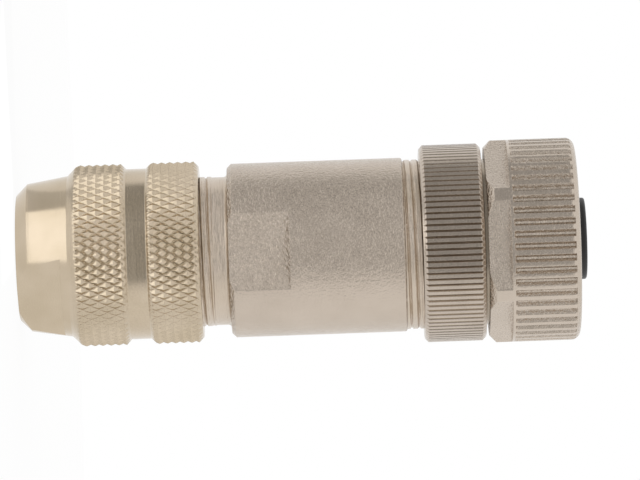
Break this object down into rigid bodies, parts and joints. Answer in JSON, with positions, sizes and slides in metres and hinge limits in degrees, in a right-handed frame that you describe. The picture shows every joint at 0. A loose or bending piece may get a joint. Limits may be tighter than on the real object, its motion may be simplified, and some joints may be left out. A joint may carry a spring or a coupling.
{
  "type": "m12 connector",
  "caption": "Straight M12 socket connector for a round cable, with a knurled gland screw, a plated sleeve, a knurled threaded ring and a grooved coupling nut.",
  "frame": {"origin": "centre of the flat annular end face of the pressing screw, on the connector's axis", "axes": "+Z along the connector's axis from the cable end to the mating face; -Y faces the middle of a spanner flat of the sleeve within a degree, and +X completes the frame"},
  "size_m": [0.02, 0.02, 0.0561],
  "materials": {
    "gland_plating": "pale champagne nickel on turned brass, satin, knurled",
    "cast_plating": "nickel-plated casting, satin and slightly grainy",
    "nut_plating": "bright nickel plating over a grainy cast grip",
    "spring_steel": "plain spring steel",
    "contact_metal": "gold-flashed turned brass",
    "insulator": "black glass-filled plastic, matte",
    "clamp_plastic": "dark grey plastic",
    "seal_rubber": "black rubber"
  },
  "bodies": {
    "housing": {"housing_sleeve": "cast_plating"},
    "gland": {"pinch_ring": "clamp_plastic", "cable_seal": "seal_rubber", "thrust_washer": "spring_steel", "shield_ring": "cast_plating"},
    "pressing_screw": {"pressing_screw": "gland_plating"},
    "insert": {"insert_holder": "cast_plating", "housing_o_ring": "seal_rubber", "contact_carrier": "insulator", "carrier_seal": "seal_rubber", "face_seal": "seal_rubber", "terminal_block": "insulator", "contact_1": "contact_metal", "contact_2": "contact_metal", "contact_3": "contact_metal", "contact_4": "contact_metal", "terminal_screws": "spring_steel"},
    "threaded_ring": {"threaded_ring": "cast_plating"},
    "coupling_nut": {"coupling_nut": "nut_plating", "snap_ring": "spring_steel"}
  },
  "joints": [
    {"name": "gland_travel", "type": "slide", "parent": "housing", "child": "gland", "axis": [0, 0, 1], "range_m": [-0.007, 0.0025]},
    {"name": "pressing_screw_turn", "type": "hinge", "parent": "gland", "child": "pressing_screw", "pos_m": [0, 0, 0.01], "axis": [0, 0, 1], "range_deg": [-3361, 1201]},
    {"name": "insert_travel", "type": "slide", "parent": "housing", "child": "insert", "axis": [0, 0, 1], "range_m": [-0.0015, 0.002]},
    {"name": "threaded_ring_turn", "type": "hinge", "parent": "insert", "child": "threaded_ring", "pos_m": [0, 0, 0.043], "axis": [0, 0, 1], "range_deg": [-721, 961]},
    {"name": "coupling_nut_spin", "type": "hinge", "parent": "insert", "child": "coupling_nut", "pos_m": [0, 0, 0.05], "axis": [0, 0, 1], "continuous": true}
  ],
  "couplings": [
    {"joint": "pressing_screw_turn", "follows": "gland_travel", "rad_per_m": 8377.6},
    {"joint": "threaded_ring_turn", "follows": "insert_travel", "rad_per_m": 8377.6}
  ]
}
